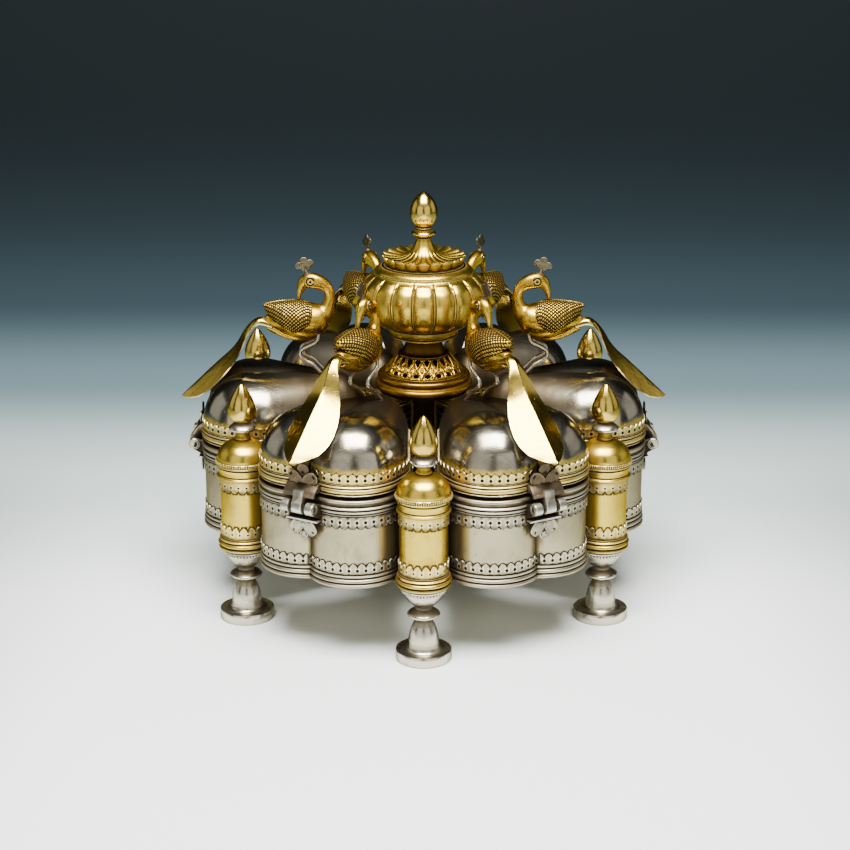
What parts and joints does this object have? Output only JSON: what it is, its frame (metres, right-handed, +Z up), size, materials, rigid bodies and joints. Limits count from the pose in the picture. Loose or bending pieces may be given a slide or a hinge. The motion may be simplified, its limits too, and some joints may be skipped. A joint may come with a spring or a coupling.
{
  "type": "spice box",
  "caption": "Footed spice box: hinged heart-shaped compartments with peacocks on their domed lids, ringed round a covered centre vessel on turned pillars.",
  "frame": {"origin": "on the floor under the middle of the vessel", "axes": "+Z up, -Y towards the pillar that faces the viewer, +X along the centreline of the box on the right"},
  "size_m": [0.229, 0.2136, 0.1897],
  "materials": {
    "silver": "satin silver with light tarnish",
    "lid_silver": "polished silver, tarnished grey-brown inwards",
    "hinge_silver": "satin silver, brown tarnish",
    "gilt": "fire-gilt, satin, brown in the recesses",
    "bright_gilt": "fire-gilt, polished, pale"
  },
  "bodies": {
    "base": {"box_1": "silver", "box_hinge_leaf_1": "hinge_silver", "hinge_pin_1": "hinge_silver", "pillar_shaft_1": "gilt", "pillar_foot_1": "silver", "box_2": "silver", "box_hinge_leaf_2": "hinge_silver", "hinge_pin_2": "hinge_silver", "pillar_shaft_2": "gilt", "pillar_foot_2": "silver", "box_3": "silver", "box_hinge_leaf_3": "hinge_silver", "hinge_pin_3": "hinge_silver", "pillar_shaft_3": "gilt", "pillar_foot_3": "silver", "box_4": "silver", "box_hinge_leaf_4": "hinge_silver", "hinge_pin_4": "hinge_silver", "pillar_shaft_4": "gilt", "pillar_foot_4": "silver", "box_5": "silver", "box_hinge_leaf_5": "hinge_silver", "hinge_pin_5": "hinge_silver", "pillar_shaft_5": "gilt", "pillar_foot_5": "silver", "box_6": "silver", "box_hinge_leaf_6": "hinge_silver", "hinge_pin_6": "hinge_silver", "pillar_shaft_6": "gilt", "pillar_foot_6": "silver", "centre_plate": "silver", "centre_post": "silver", "vessel_foot": "gilt", "vessel_bowl": "gilt"},
    "lid_1": {"lid_1": "lid_silver", "lid_hinge_leaf_1": "hinge_silver", "peacock_1": "gilt", "peacock_tail_1": "bright_gilt"},
    "lid_2": {"lid_2": "lid_silver", "lid_hinge_leaf_2": "hinge_silver", "peacock_2": "gilt", "peacock_tail_2": "bright_gilt"},
    "lid_3": {"lid_3": "lid_silver", "lid_hinge_leaf_3": "hinge_silver", "peacock_3": "gilt", "peacock_tail_3": "bright_gilt"},
    "lid_4": {"lid_4": "lid_silver", "lid_hinge_leaf_4": "hinge_silver", "peacock_4": "gilt", "peacock_tail_4": "bright_gilt"},
    "lid_5": {"lid_5": "lid_silver", "lid_hinge_leaf_5": "hinge_silver", "peacock_5": "gilt", "peacock_tail_5": "bright_gilt"},
    "lid_6": {"lid_6": "lid_silver", "lid_hinge_leaf_6": "hinge_silver", "peacock_6": "gilt", "peacock_tail_6": "bright_gilt"},
    "vessel_lid": {"vessel_lid": "gilt", "vessel_finial": "bright_gilt"}
  },
  "joints": [
    {"name": "lid_1_hinge", "type": "hinge", "parent": "base", "child": "lid_1", "pos_m": [0.05408, -0.09366, 0.0703], "axis": [0.866, 0.5, 0], "range_deg": [0, 100]},
    {"name": "lid_2_hinge", "type": "hinge", "parent": "base", "child": "lid_2", "pos_m": [0.10815, 0, 0.0703], "axis": [0, 1, 0], "range_deg": [0, 100]},
    {"name": "lid_3_hinge", "type": "hinge", "parent": "base", "child": "lid_3", "pos_m": [0.05408, 0.09366, 0.0703], "axis": [-0.866, 0.5, 0], "range_deg": [0, 100]},
    {"name": "lid_4_hinge", "type": "hinge", "parent": "base", "child": "lid_4", "pos_m": [-0.05408, 0.09366, 0.0703], "axis": [-0.866, -0.5, 0], "range_deg": [0, 100]},
    {"name": "lid_5_hinge", "type": "hinge", "parent": "base", "child": "lid_5", "pos_m": [-0.10815, 0, 0.0703], "axis": [0, -1, 0], "range_deg": [0, 100]},
    {"name": "lid_6_hinge", "type": "hinge", "parent": "base", "child": "lid_6", "pos_m": [-0.05408, -0.09366, 0.0703], "axis": [0.866, -0.5, 0], "range_deg": [0, 100]},
    {"name": "vessel_lid_lift", "type": "slide", "parent": "base", "child": "vessel_lid", "axis": [0, 0, 1], "range_m": [0, 0.04]}
  ]
}
